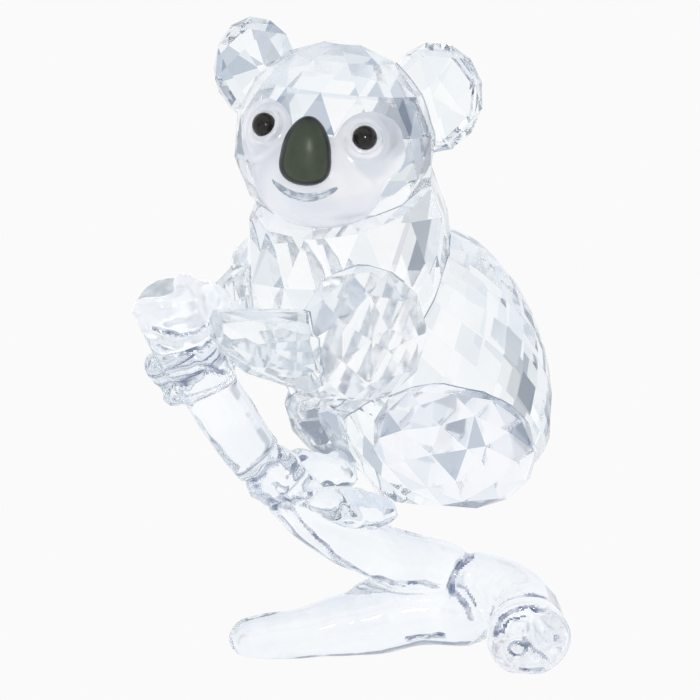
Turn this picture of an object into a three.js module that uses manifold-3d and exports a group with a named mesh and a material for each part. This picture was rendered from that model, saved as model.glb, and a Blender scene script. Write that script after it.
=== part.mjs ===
// A cut-crystal koala figurine that climbs a cast clear-glass branch.
// Millimetres, +Z up. The figurine is shown from -Y.
// Its origin is on the floor, under the middle of its box.
// The animal is laid out in a frame of its own: +X is the way its body faces and +Y is its left side.
import * as THREE from 'three';
import { ConvexGeometry } from 'three/addons/geometries/ConvexGeometry.js';
import { mergeVertices } from 'three/addons/utils/BufferGeometryUtils.js';
import Module from 'manifold-3d';

const wasm = await Module();
wasm.setup();

const { degToRad, lerp } = THREE.MathUtils;
const vec = (x, y, z) => new THREE.Vector3(x, y, z);

// ---- Driving dimensions ----

const GLUE = 0.12; // clearance left for the glue between neighbouring crystals
const CUT = 0.3; // width of the cuts that part the branch at its fork

const BODY_FACING = 205; // degrees that the animal is turned about Z in the display
const BODY_PLACE = vec(9, 4, 0); // the animal's own origin in the display

const HEAD = {
  place: vec(11.6, 0, 53.3),
  turn: 50, // degrees that it looks over its left shoulder
  lean: -5.5, // degrees that its left side sinks
  radii: [8.7, 10.2, 10.0],
  // Rows of corners, each [latitude, corners].
  rows: [[79, 5], [57, 10], [34, 14], [10, 15], [-14, 15], [-38, 13], [-62, 8], [-90, 1]],
};
const CHEEK = { place: [2.0, 4.0, 0.4], radii: [7.1, 4.7, 5.0] };
const MUZZLE = { x: 3.6, z: -2.6, radii: [7.3, 6.8, 5.8] };
const SMILE = { halfWidth: 3.3, z: -3.1, sag: 1.3, radii: [0.2, 0.55, 0.55, 0.2] };
const EYE = { x: 8.25, y: 5.1, z: 1.85, radius: 1.22, flatten: 0.9, turn: 19 };
const NOSE = { x: 10.6, z: 0.2, depth: 2.2, halfWidth: 2.45, halfHeight: 3.4, taper: 0.16, square: 3.5 };
const EARS = {
  rows: [[66, 4], [34, 8], [2, 13], [-45, 8], [-90, 1]],
  left: { place: vec(-3.2, 8.8, 5.1), outward: 20, radii: [5.6, 5.0, 2.5] },
  right: { place: vec(-2.6, -9.5, 5.9), outward: 16, radii: [5.2, 4.9, 2.5] },
};

const CHEST = {
  place: vec(10.0, 0, 41.0),
  radii: [10.7, 9.4, 16.0],
  rows: [[90, 1], [64, 8], [41, 11], [18, 12], [-5, 12], [-28, 12], [-53, 9], [-90, 1]],
  neck: { point: vec(17.6, 6.7, 44.3), normal: vec(0.283, 0.314, 0.906) }, // it carries the head
};
const BODY = {
  place: vec(-0.1, 0, 28.5),
  lean: 15, // degrees that its top leans forward
  radii: [11.2, 9.7, 16.4],
  equator: 20, // diamonds round the widest row
  diamond: 1.35, // spacing of the rows, as a share of the spacing along them
  crown: 1.6, // spacings from the top flat to the first row
  fewer: { near: 0.75, nearDrop: 4, far: 0.45, farCount: 9 }, // diamonds in rows that are narrower
  seat: { point: vec(0, 0, 16.8), normal: vec(0, 0, -1) },
  rump: { point: vec(-7.2, 0, 20.2), normal: vec(-0.53, 0, -0.85) },
};
const THIGH = {
  lean: -18, // degrees that its rear rises
  radii: [9.1, 5.1, 6.3],
  rows: [[82, 3], [57, 7], [33, 11], [9, 14], [-15, 14], [-45, 10], [-90, 1]],
  back: 4.6, // distance of its flat back from the animal's middle plane
  left: vec(2.1, 8.0, 23.4),
  right: vec(4.6, 7.6, 24.4), // this leg is a step ahead
};
const ARM = {
  radii: [6.7, 4.7, 7.0],
  rows: [[80, 3], [50, 7], [20, 10], [-10, 10], [-42, 8], [-90, 1]],
  elbow: vec(5.6, -0.8, -1.5), // from the shoulder
  elbowHalf: [3.2, 4.4], // half width and half height of the forearm there
  middle: 0.68, // where its lower edge bends, from elbow to wrist
  swell: 1.18, // how much fuller than a straight taper it is there
  wristHalf: [1.9, 1.9],
  sides: 8,
  left: { shoulder: vec(12.7, 8.9, 35.3), wrist: vec(26.9, 5.6, 36.3) },
  right: { shoulder: vec(12.9, 8.8, 37.7), wrist: vec(26.8, 4.8, 33.2) },
};
const PAWS = {
  sawnLength: 4.7, // length of the stem's path beyond its sawn end
  left: 0.7, // distance of the middle finger from the sawn end
  right: 7.2,
  palm: { radii: [2.6, 1.9, 3.1], angle: -45, distance: 3.9, lean: 28 },
  fingers: {
    offsets: [-2.05, 0, 2.05],
    distance: 3.6, // from the stem's middle line
    radii: [1.6, 1.55, 1.4, 1.1],
    fan: 0.65, // how close they lie at the palm, against the tips
    droop: 1.5, // how far their roots lie down the stem from their tips
    // Angles round the stem, from the animal's own side to its front.
    left: [-60, -25, 10, 45, 75],
    right: [-60, -20, 20, 60, 95],
  },
  // Only the left paw shows its thumb, which is laid out in the display's frame.
  thumb: {
    points: [vec(-14.3, -9.2, 36.6), vec(-15.2, -9.8, 38.7), vec(-17.0, -9.8, 41.2)],
    radii: [1.9, 1.6, 0.9],
  },
};
const FOOT = {
  radii: [5.1, 2.2, 2.1],
  toe: { radii: [2.3, 1.05, 1.05], ahead: 4.0, apart: 1.15, middle: 0.35, outer: 0.05 },
  lift: -14, // degrees that the toes rise
  left: { place: vec(11.4, 3.9, 17.0) },
  right: { place: vec(12.2, 3.6, 19.6) },
};

// The stem's sawn end, the limb and the knob are laid out in the display's frame.
const BRANCH = {
  sides: 14,
  stem: {
    // The stem lies in the animal's middle plane, so its path is in the animal's frame.
    points: [
      [32.2, 42.6], [29.9, 38.2], [27.3, 33.2], [24.6, 28.4], [21.4, 23.8], [18.1, 19.8],
      [14.6, 16.4], [10.4, 13.2], [4.3, 10.4], [-3.4, 7.9],
    ].map(([forward, height]) => vec(forward, 0, height)),
    radii: [3.5, 3.4, 3.05, 2.95, 2.9, 2.9, 2.9, 3.0, 3.1, 3.1],
    steps: 20,
  },
  stemEnd: { point: vec(-18.4, -9.4, 37.8), normal: vec(-0.3, -0.6, 0.74) },
  limb: {
    points: [
      vec(-12.4, 2.4, 2.0), vec(-5.1, 2.7, 2.65), vec(0, 3.6, 3.4),
      vec(4.6, 4.3, 4.2), vec(9.5, 4.3, 4.7), vec(15.2, 2.6, 4.4),
    ],
    radii: [2.0, 2.6, 3.3, 3.8, 3.6, 3.4],
    steps: 16,
  },
  knob: {
    points: [
      vec(8.6, 3.8, 8.9), vec(12.6, 4.7, 7.9), vec(16.0, 3.2, 6.9),
      vec(17.8, 0, 5.4), vec(17.8, -6, 4.4), vec(17.6, -16, 4.0),
    ],
    radii: [2.7, 3.0, 3.3, 3.8, 4.2, 4.3, 4.3],
    steps: 20,
  },
  knobEnd: { point: vec(17.7, -10.6, 4.2), normal: vec(0.05, -1, -0.3) },
  web: { place: vec(4.0, 3.9, 6.9), radii: [4.2, 1.7, 1.7] }, // it fills the crotch of the fork
  floor: 0.25, // depth that the underside is ground flat
};

// ---- Colours ----

const CRYSTAL = new THREE.MeshStandardMaterial({ color: 0xe6edf5, roughness: 0.05, flatShading: true });
const CAST_GLASS = new THREE.MeshStandardMaterial({ color: 0xdfe8f2, roughness: 0.08 });
const JET = new THREE.MeshStandardMaterial({ color: 0x141210, roughness: 0.1 });
const SMOKE = new THREE.MeshStandardMaterial({ color: 0x3c4638, roughness: 0.12 });

// ---- Solids ----

/** The closed solid of a three.js geometry. */
function solid(geometry) {
  const shell = new THREE.BufferGeometry();
  shell.setAttribute('position', geometry.attributes.position);
  shell.setIndex(geometry.index);
  const merged = mergeVertices(shell, 1e-5);
  const corners = merged.index.array;
  const triVerts = [];
  for (let i = 0; i < corners.length; i += 3) {
    const [a, b, c] = corners.slice(i, i + 3);
    if (a !== b && b !== c && c !== a) triVerts.push(a, b, c);
  }
  return new wasm.Manifold(new wasm.Mesh({
    numProp: 3,
    vertProperties: Float32Array.from(merged.attributes.position.array),
    triVerts: Uint32Array.from(triVerts),
  }));
}

/** The three.js geometry of a solid. */
function geometryOf(body) {
  const mesh = body.getMesh();
  const geometry = new THREE.BufferGeometry();
  geometry.setAttribute('position', new THREE.BufferAttribute(mesh.vertProperties, 3));
  geometry.setIndex(new THREE.BufferAttribute(mesh.triVerts, 1));
  geometry.computeVertexNormals();
  return geometry;
}

/** The largest of the lumps that a cut leaves. */
function largestLump(body) {
  return body.decompose().reduce((best, lump) => (lump.volume() > best.volume() ? lump : best));
}

/** Moves a solid to a place, turned by degrees about X, Y and Z in that order. */
function placed(body, place, [aboutX, aboutY, aboutZ] = [0, 0, 0]) {
  const turn = new THREE.Quaternion().setFromEuler(
    new THREE.Euler(degToRad(aboutX), degToRad(aboutY), degToRad(aboutZ), 'ZYX'),
  );
  return body.transform(new THREE.Matrix4().compose(place, turn, vec(1, 1, 1)).elements);
}

function ellipsoid(radii, sides = 16, rings = 12) {
  return solid(new THREE.SphereGeometry(1, sides, rings).scale(...radii));
}

function joined(bodies) {
  return bodies.reduce((whole, body) => whole.add(body));
}

/** Keeps what lies behind a plane through a point. */
function ground(body, point, normal) {
  const inward = normal.clone().normalize().negate();
  return body.trimByPlane(inward.toArray(), inward.dot(point));
}

/** The same, for a flat that moves outwards as its stone grows. */
function groundFlat(body, { point, normal }, grow) {
  return ground(body, point.clone().addScaledVector(normal, grow), normal);
}

/** A stone ground from a block, each flat touching an ellipsoid, in staggered rows round the Z axis. */
function cutStone(radii, rows, grow = 0) {
  let stone = solid(new THREE.BoxGeometry(...radii.map((radius) => 2.6 * (radius + grow))));
  rows.forEach(([latitude, flats, depth = 0], row) => {
    for (let i = 0; i < flats; i += 1) {
      const around = (2 * Math.PI * (i + (row % 2) / 2)) / flats;
      const level = Math.cos(degToRad(latitude));
      const touch = vec(
        radii[0] * level * Math.cos(around),
        radii[1] * level * Math.sin(around),
        radii[2] * Math.sin(degToRad(latitude)),
      );
      const normal = touch.clone().divide(vec(...radii)).divide(vec(...radii)).normalize();
      stone = ground(stone, touch.addScaledVector(normal, grow - depth), normal);
    }
  });
  return stone;
}

/** A stone of triangular facets, whose corners lie on an ellipsoid in staggered rows round the Z axis. */
function pointedStone(radii, rows, grow = 0) {
  const corners = rows.flatMap(([latitude, count], row) => Array.from({ length: count }, (_, i) => {
    const around = (2 * Math.PI * (i + (row % 2) / 2)) / count;
    const level = Math.cos(degToRad(latitude));
    return vec(
      (radii[0] + grow) * level * Math.cos(around),
      (radii[1] + grow) * level * Math.sin(around),
      (radii[2] + grow) * Math.sin(degToRad(latitude)),
    );
  }));
  return solid(new ConvexGeometry(corners));
}

/** A round rod along a smooth path, with round ends. across is a direction that the path never takes. */
function bentRod({ points, radii, steps }, sides, across, grow = 0) {
  const path = new THREE.CatmullRomCurve3(points);
  const length = path.getLength();
  const profile = [];
  for (let i = 0; i <= steps; i += 1) {
    const t = (1 - Math.cos((Math.PI * i) / steps)) / 2;
    const spot = t * (radii.length - 1);
    const near = Math.min(Math.floor(spot), radii.length - 2);
    const radius = lerp(radii[near], radii[near + 1], spot - near);
    const fromEnd = Math.min(t, 1 - t) * length;
    const rounding = fromEnd < radius ? Math.sqrt(1 - (1 - fromEnd / radius) ** 2) : 1;
    profile.push(new THREE.Vector2(rounding > 0 ? radius * rounding + grow : 0, t));
  }
  const rod = new THREE.LatheGeometry(profile, sides);
  const spots = rod.attributes.position;
  for (let i = 0; i < spots.count; i += 1) {
    const t = spots.getY(i);
    const tangent = path.getTangentAt(t);
    const side = vec(0, 0, 0).crossVectors(across, tangent).normalize();
    const up = vec(0, 0, 0).crossVectors(tangent, side);
    const spot = path.getPointAt(t).addScaledVector(side, spots.getX(i)).addScaledVector(up, spots.getZ(i));
    spots.setXYZ(i, spot.x, spot.y, spot.z);
  }
  return orientedOut(rod);
}

/** The solid of a closed geometry whose faces may all point inwards. */
function orientedOut(geometry) {
  const body = solid(geometry);
  if (body.volume() > 0) return body;
  const order = geometry.index.array;
  for (let i = 0; i < order.length; i += 3) [order[i], order[i + 1]] = [order[i + 1], order[i]];
  return solid(geometry);
}

const up = vec(0, 0, 1);
const mirrored = (body) => body.mirror([0, 1, 0]);
const onSide = (side, body) => (side === 'left' ? body : mirrored(body));

// ---- The head, in the head's own frame, then placed on the neck ----

function onNeck(body) {
  return placed(placed(body, vec(0, 0, 0), [HEAD.lean, 0, 0]), HEAD.place, [0, 0, HEAD.turn]);
}

function smileGroove() {
  const points = [-1, -0.5, 0, 0.5, 1].map((across) => {
    const y = across * SMILE.halfWidth;
    const z = SMILE.z - SMILE.sag * (1 - across ** 2);
    const level = 1 - (y / MUZZLE.radii[1]) ** 2 - ((z - MUZZLE.z) / MUZZLE.radii[2]) ** 2;
    return vec(MUZZLE.x + MUZZLE.radii[0] * Math.sqrt(level), y, z);
  });
  return bentRod({ points, radii: SMILE.radii, steps: 10 }, 8, vec(1, 0, 0));
}

function head(grow) {
  const cheek = placed(ellipsoid(CHEEK.radii.map((radius) => radius + grow)), vec(...CHEEK.place));
  const muzzle = placed(ellipsoid(MUZZLE.radii.map((radius) => radius + grow)), vec(MUZZLE.x, 0, MUZZLE.z));
  const whole = joined([pointedStone(HEAD.radii, HEAD.rows, grow), cheek, mirrored(cheek), muzzle]);
  return onNeck(grow > 0 ? whole : whole.subtract(smileGroove()));
}

function eye(side, grow) {
  const radius = EYE.radius + grow;
  const bead = ellipsoid([radius * EYE.flatten, radius, radius], 12, 9);
  return onNeck(onSide(side, placed(bead, vec(EYE.x, EYE.y, EYE.z), [0, 0, EYE.turn])));
}

/** An egg-shaped cabochon, narrow at the top. */
function nose(grow) {
  const egg = new THREE.SphereGeometry(1, 20, 14);
  const spots = egg.attributes.position;
  for (let i = 0; i < spots.count; i += 1) {
    const z = spots.getY(i);
    const fuller = z < 0 && z > -1 ? Math.sqrt((1 - Math.abs(z) ** NOSE.square) / (1 - z * z)) : 1;
    const width = (NOSE.halfWidth + grow) * (1 - NOSE.taper * z) * fuller;
    const depth = (NOSE.depth + grow) * fuller;
    spots.setXYZ(i, depth * spots.getZ(i), width * spots.getX(i), (NOSE.halfHeight + grow) * z);
  }
  return onNeck(placed(orientedOut(egg), vec(NOSE.x, 0, NOSE.z)));
}

function ear(side, grow) {
  const { place, outward, radii } = EARS[side];
  const facing = placed(pointedStone(radii, EARS.rows, grow), vec(0, 0, 0), [0, 90, 0]);
  return onNeck(placed(facing, place, [0, 0, side === 'left' ? outward : -outward]));
}

// ---- The trunk and limbs, in the animal's frame ----

function chest(grow) {
  const stone = placed(pointedStone(CHEST.radii, CHEST.rows, grow), CHEST.place);
  return groundFlat(stone, CHEST.neck, grow);
}

/** The back and hips: a checkerboard of diamonds, with rows half a diamond apart. */
function body(grow) {
  const { near, nearDrop, far, farCount } = BODY.fewer;
  const rows = [[90, 1, 0.3]];
  const step = (BODY.diamond * 180 * BODY.radii[0]) / (BODY.equator * BODY.radii[2]);
  for (let latitude = 90 - BODY.crown * step; latitude > -70; latitude -= step) {
    const share = Math.cos(degToRad(latitude));
    const nearCount = share > near ? BODY.equator : BODY.equator - nearDrop;
    rows.push([latitude, share > far ? nearCount : farCount]);
  }
  const stone = placed(cutStone(BODY.radii, rows, grow), BODY.place, [0, BODY.lean, 0]);
  return [BODY.seat, BODY.rump].reduce((rest, flat) => groundFlat(rest, flat, grow), stone);
}

function thigh(side, grow) {
  const [length, width, height] = THIGH.radii;
  const dome = placed(pointedStone([length, height, width], THIGH.rows, grow), vec(0, 0, 0), [-90, 0, 0]);
  const stone = placed(dome, THIGH[side], [0, THIGH.lean, 0]);
  return onSide(side, ground(stone, vec(0, THIGH.back - grow, 0), vec(0, -1, 0)));
}

/** A many-sided ring of corners across a forearm. */
function armRing(centre, [halfWidth, halfHeight], turn, grow) {
  return Array.from({ length: ARM.sides }, (_, i) => {
    const around = (2 * Math.PI * (i + turn)) / ARM.sides;
    return vec(
      centre.x,
      centre.y + (halfWidth + grow) * Math.cos(around),
      centre.z + (halfHeight + grow) * Math.sin(around),
    );
  });
}

function arm(side, grow) {
  const [length, width, height] = ARM.radii;
  const bead = placed(pointedStone([length, height, width], ARM.rows, grow), vec(0, 0, 0), [-90, 0, 0]);
  const { shoulder, wrist } = ARM[side];
  const elbow = shoulder.clone().add(ARM.elbow);
  const middleHalf = ARM.elbowHalf.map((half, i) => ARM.swell * lerp(half, ARM.wristHalf[i], ARM.middle));
  const middle = elbow.clone().lerp(wrist, ARM.middle);
  middle.z -= middleHalf[1] * (1 - 1 / ARM.swell);
  const forearm = solid(new ConvexGeometry([
    ...armRing(elbow, ARM.elbowHalf, 0.5, grow),
    ...armRing(middle, middleHalf, 0, grow),
    ...armRing(wrist.clone().setX(wrist.x + grow), ARM.wristHalf, 0.5, grow),
  ]));
  return onSide(side, placed(bead, shoulder).add(forearm));
}

/** Turns a point of the display's frame into the animal's frame. */
function toAnimal(point) {
  return point.clone().sub(BODY_PLACE).applyAxisAngle(vec(0, 0, 1), -degToRad(BODY_FACING));
}

const stemPath = new THREE.CatmullRomCurve3(BRANCH.stem.points);

/** A point beside the stem: the angle turns round it from the animal's left side to its front. */
function besideStem(along, angle, distance) {
  const t = along / stemPath.getLength();
  const tangent = stemPath.getTangentAt(t);
  const front = vec(0, 0, 0).crossVectors(tangent, vec(0, 1, 0));
  return stemPath.getPointAt(t)
    .addScaledVector(vec(0, 1, 0), distance * Math.cos(degToRad(angle)))
    .addScaledVector(front, distance * Math.sin(degToRad(angle)));
}

function paw(side, grow) {
  const { palm, fingers, thumb } = PAWS;
  const along = PAWS[side] + PAWS.sawnLength;
  const ball = placed(
    ellipsoid(palm.radii.map((radius) => radius + grow), 12, 8),
    besideStem(along + fingers.droop, palm.angle, palm.distance),
    [0, palm.lean, 0],
  );
  const last = fingers[side].length - 1;
  const bent = fingers.offsets.map((offset) => bentRod({
    points: fingers[side].map((angle, i) => {
      const spread = offset * lerp(fingers.fan, 1, i / last) + fingers.droop * (1 - i / last);
      return besideStem(along + spread, angle, fingers.distance);
    }),
    radii: fingers.radii,
    steps: 7,
  }, 7, stemPath.getTangentAt(0.1), grow));
  if (side === 'left') {
    bent.push(bentRod({ points: thumb.points.map(toAnimal), radii: thumb.radii, steps: 7 }, 9, up, grow));
  }
  return onSide(side, joined([ball, ...bent]));
}

function foot(side, grow) {
  const { radii, ahead, apart, middle, outer } = FOOT.toe;
  const sole = ellipsoid(FOOT.radii.map((radius) => radius + grow), 12, 8);
  const toes = [-1, 0, 1].map((step) => placed(
    ellipsoid(radii.map((radius) => radius + grow), 8, 6),
    vec(ahead, step * apart, step === 0 ? middle : outer),
  ));
  return onSide(side, placed(joined([sole, ...toes]), FOOT[side].place, [0, FOOT.lift, 0]));
}

// ---- The branch, cast in one and parted at its fork ----

/** The same plane, seen from the animal's frame and moved outwards. */
function planeOf({ point, normal }, outwards) {
  const turned = normal.clone().applyAxisAngle(up, -degToRad(BODY_FACING)).normalize();
  return [toAnimal(point).addScaledVector(turned, outwards), turned];
}

function wholeBranch(grow) {
  const { stem, stemEnd, limb, knob, knobEnd, web, sides, floor } = BRANCH;
  const [side, base] = [limb, knob].map(
    (part) => bentRod({ ...part, points: part.points.map(toAnimal) }, sides, up, grow),
  );
  const rods = [
    ground(bentRod(stem, sides, vec(0, 1, 0), grow), ...planeOf(stemEnd, grow)),
    side,
    ground(base, ...planeOf(knobEnd, grow)),
    placed(ellipsoid(web.radii.map((radius) => radius + grow)), toAnimal(web.place), [0, 0, -BODY_FACING]),
  ];
  return ground(joined(rods), vec(0, 0, floor - grow), vec(0, 0, -1));
}

/** What of the branch lies behind some planes of the display's frame. */
function branchPart(cuts) {
  return cuts.reduce((part, cut) => ground(part, ...planeOf(cut, -CUT / 2)), wholeBranch(0));
}

const flip = ({ point, normal }) => ({ point, normal: normal.clone().negate() });
const fork = { point: vec(3.5, 3, 6.9), normal: vec(-0.12, 0, -1) };
const bend = { point: vec(13.2, 4.4, 6), normal: vec(1, -0.15, 0) };

// ---- The assembly: each piece is notched by those above it in the list ----

const pieces = [
  ['eye_left', JET, (grow) => eye('left', grow)],
  ['eye_right', JET, (grow) => eye('right', grow)],
  ['nose', SMOKE, nose],
  ['head', CRYSTAL, head],
  ['branch', CAST_GLASS, wholeBranch],
  ['arm_left', CRYSTAL, (grow) => arm('left', grow)],
  ['arm_right', CRYSTAL, (grow) => arm('right', grow)],
  ['thigh_left', CRYSTAL, (grow) => thigh('left', grow)],
  ['thigh_right', CRYSTAL, (grow) => thigh('right', grow)],
  ['foot_left', CAST_GLASS, (grow) => foot('left', grow)],
  ['foot_right', CAST_GLASS, (grow) => foot('right', grow)],
  ['chest', CRYSTAL, chest],
  ['body', CRYSTAL, body],
  ['ear_left', CRYSTAL, (grow) => ear('left', grow)],
  ['ear_right', CRYSTAL, (grow) => ear('right', grow)],
  ['paw_left', CAST_GLASS, (grow) => paw('left', grow)],
  ['paw_right', CAST_GLASS, (grow) => paw('right', grow)],
];

function notched(index) {
  const shape = pieces[index][2](0);
  const cutters = pieces.slice(0, index).map(([, , make]) => make(GLUE));
  return largestLump(cutters.reduce((rest, cutter) => rest.subtract(cutter), shape));
}

const animal = new THREE.Group();
animal.rotation.z = degToRad(BODY_FACING);
animal.position.copy(BODY_PLACE);

function addPiece(name, material, shape) {
  const mesh = new THREE.Mesh(geometryOf(shape), material);
  mesh.name = name;
  animal.add(mesh);
}

pieces.forEach(([name, material], index) => {
  if (name !== 'branch') addPiece(name, material, notched(index));
});
addPiece('branch_stem', CAST_GLASS, largestLump(branchPart([fork, bend])));
addPiece('branch_limb', CAST_GLASS, largestLump(branchPart([flip(fork), bend])));
addPiece('branch_knob', CAST_GLASS, largestLump(branchPart([flip(bend)])));

const display = new THREE.Group();
display.add(animal);
display.updateMatrixWorld(true);
const box = new THREE.Box3().setFromObject(display, true);
const middle = box.getCenter(vec(0, 0, 0));
const part = new THREE.Group();
display.position.set(-middle.x, -middle.y, -box.min.z);
part.add(display);

export default part;
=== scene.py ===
"""Looks of a cut-crystal koala that climbs a cast clear-glass branch.

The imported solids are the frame. Pieces are shaped in millimetres and placed in metres.
"""

import math
import random

import bmesh
import bpy
import numpy as np
from mathutils import Euler, Matrix, Vector, noise
from mathutils.bvhtree import BVHTree


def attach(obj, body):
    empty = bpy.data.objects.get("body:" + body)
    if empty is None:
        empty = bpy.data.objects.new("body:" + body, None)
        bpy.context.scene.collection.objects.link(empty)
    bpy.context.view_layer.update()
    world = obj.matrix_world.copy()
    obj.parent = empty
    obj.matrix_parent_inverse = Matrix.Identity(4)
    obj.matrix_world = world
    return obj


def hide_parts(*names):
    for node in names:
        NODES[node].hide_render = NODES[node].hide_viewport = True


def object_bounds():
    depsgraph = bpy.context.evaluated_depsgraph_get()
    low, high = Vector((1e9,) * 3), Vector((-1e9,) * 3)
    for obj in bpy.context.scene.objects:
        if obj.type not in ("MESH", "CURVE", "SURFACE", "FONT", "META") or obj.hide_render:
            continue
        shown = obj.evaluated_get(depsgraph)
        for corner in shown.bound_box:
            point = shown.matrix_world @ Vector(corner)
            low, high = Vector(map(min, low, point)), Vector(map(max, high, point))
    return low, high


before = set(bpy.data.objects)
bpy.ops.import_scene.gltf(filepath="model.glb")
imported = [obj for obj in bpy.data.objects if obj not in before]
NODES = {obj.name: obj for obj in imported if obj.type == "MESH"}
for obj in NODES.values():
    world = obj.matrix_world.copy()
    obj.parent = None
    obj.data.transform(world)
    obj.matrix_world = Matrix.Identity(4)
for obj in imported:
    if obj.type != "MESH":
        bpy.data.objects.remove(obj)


def box_lists():
    low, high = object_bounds()
    return [list(low), list(high)]


cad_box = box_lists()
MM = 0.001

# ---- Camera ----

# From the display's own frame to the shared one, in millimetres.
DISPLAY = Matrix.Translation((-0.192, -0.165, -0.25))
CAMERA_AIM = DISPLAY @ Vector((0, 0, 32.2)) * MM
CAMERA_ELEVATION = math.radians(9)
CAMERA_DISTANCE = 450 * MM
CAMERA_FIELD = 70 * MM  # width that the picture spans at the figurine
SENSOR_WIDTH = 36


def add_camera():
    camera = bpy.data.objects.new("camera", bpy.data.cameras.new("camera"))
    bpy.context.scene.collection.objects.link(camera)
    camera.data.sensor_width = SENSOR_WIDTH
    camera.data.lens = SENSOR_WIDTH * CAMERA_DISTANCE / CAMERA_FIELD
    camera.data.clip_start = 10 * MM
    camera.data.clip_end = 20
    back = Vector((0, -math.cos(CAMERA_ELEVATION), math.sin(CAMERA_ELEVATION)))
    camera.location = CAMERA_AIM + back * CAMERA_DISTANCE
    camera.rotation_euler = (math.pi / 2 - CAMERA_ELEVATION, 0, 0)
    bpy.context.scene.camera = camera


# ---- Studio ----

PAPER = 0.956  # brightness of the backdrop and the floor
# The panels round the light tent, each [share of them up to here, colour].
# Most are white, and a few are grey or dark.
PANELS = [
    [0.0, (1.05, 1.05, 1.05)], [0.50, (0.985, 0.995, 1.005)], [0.62, (0.87, 0.895, 0.925)],
    [0.72, (0.58, 0.63, 0.69)], [0.82, (0.14, 0.18, 0.25)],
]
PANEL_SCALE = 2.7
PANEL_SOFTNESS = 0.3
PANEL_DISORDER = 0.9
FOLDS = {"scale": 2.3, "share": 0.3, "colour": (0.88, 0.90, 0.93)}  # soft shades in the tent's cloth
LOW_SIDE = {"heights": (-0.9, 0.1), "colour": (0.93, 0.945, 0.97)}  # the tent below the table
# The white backdrop, with the cosines between which it fades in.
BACKDROP = {"edge": (math.cos(math.radians(38)), math.cos(math.radians(20))), "colour": (1.0, 1.0, 1.0)}
FLOOR_HALF = 3.0
FLOOR_DROP = 0.05 * MM  # the floor lies this much under the figurine
FLASH = {"place": Vector((60, -430, 90)) * MM, "size": 50 * MM, "power": 0.7}


def new_node(tree, kind, **settings):
    node = tree.nodes.new(kind)
    for key, value in settings.items():
        setattr(node, key, value)
    return node


def link(tree, source, target):
    tree.links.new(source, target)


def mix_colours(tree, share, first, second):
    """A colour between two, each a socket or a plain colour."""
    mix = new_node(tree, "ShaderNodeMix", data_type="RGBA")
    for socket, value in ((mix.inputs[0], share), (mix.inputs[6], first), (mix.inputs[7], second)):
        if isinstance(value, bpy.types.NodeSocket):
            link(tree, value, socket)
        elif isinstance(value, (int, float)):
            socket.default_value = value
        else:
            socket.default_value = (*value, 1)
    return mix.outputs[2]


def ramp(tree, source, low, high, start=0.0, end=1.0):
    """start below low, end above high, and a smooth rise between them."""
    step = new_node(tree, "ShaderNodeMapRange", interpolation_type="SMOOTHSTEP")
    link(tree, source, step.inputs["Value"])
    for key, value in (("From Min", low), ("From Max", high), ("To Min", start), ("To Max", end)):
        step.inputs[key].default_value = value
    return step.outputs["Result"]


def add_world():
    """A light tent of panels and a white backdrop, which the camera itself sees as even paper."""
    world = bpy.data.worlds.new("light tent")
    bpy.context.scene.world = world
    world.use_nodes = True
    tree = world.node_tree
    tree.nodes.clear()
    direction = new_node(tree, "ShaderNodeTexCoord").outputs["Generated"]
    panels = new_node(tree, "ShaderNodeTexVoronoi", feature="SMOOTH_F1")
    panels.inputs["Smoothness"].default_value = PANEL_SOFTNESS
    panels.inputs["Scale"].default_value = PANEL_SCALE
    panels.inputs["Randomness"].default_value = PANEL_DISORDER
    link(tree, direction, panels.inputs["Vector"])
    lot = new_node(tree, "ShaderNodeSeparateColor")
    link(tree, panels.outputs["Color"], lot.inputs[0])
    palette = new_node(tree, "ShaderNodeValToRGB")
    palette.color_ramp.interpolation = "LINEAR"
    stops = palette.color_ramp.elements
    while len(stops) < len(PANELS):
        stops.new(1.0)
    for stop, (position, shade) in zip(stops, PANELS):
        stop.position = position
        stop.color = (*shade, 1)
    link(tree, lot.outputs["Red"], palette.inputs["Fac"])
    folds = new_node(tree, "ShaderNodeTexNoise")
    folds.inputs["Scale"].default_value = FOLDS["scale"]
    folds.inputs["Detail"].default_value = 1.0
    link(tree, direction, folds.inputs["Vector"])
    share = ramp(tree, folds.outputs["Fac"], 0.3, 0.7, 0.0, FOLDS["share"])
    colour = mix_colours(tree, share, palette.outputs["Color"], FOLDS["colour"])
    parts = new_node(tree, "ShaderNodeSeparateXYZ")
    link(tree, direction, parts.inputs[0])
    below = ramp(tree, parts.outputs["Z"], *LOW_SIDE["heights"])
    colour = mix_colours(tree, below, LOW_SIDE["colour"], colour)
    behind = ramp(tree, parts.outputs["Y"], *BACKDROP["edge"])
    colour = mix_colours(tree, behind, colour, BACKDROP["colour"])
    tent = new_node(tree, "ShaderNodeBackground")
    link(tree, colour, tent.inputs["Color"])
    paper = new_node(tree, "ShaderNodeBackground")
    paper.inputs["Color"].default_value = (PAPER, PAPER, PAPER, 1)
    seen = new_node(tree, "ShaderNodeLightPath").outputs["Is Camera Ray"]
    choice = new_node(tree, "ShaderNodeMixShader")
    link(tree, seen, choice.inputs[0])
    link(tree, tent.outputs[0], choice.inputs[1])
    link(tree, paper.outputs[0], choice.inputs[2])
    link(tree, choice.outputs[0], new_node(tree, "ShaderNodeOutputWorld").inputs["Surface"])


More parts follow.
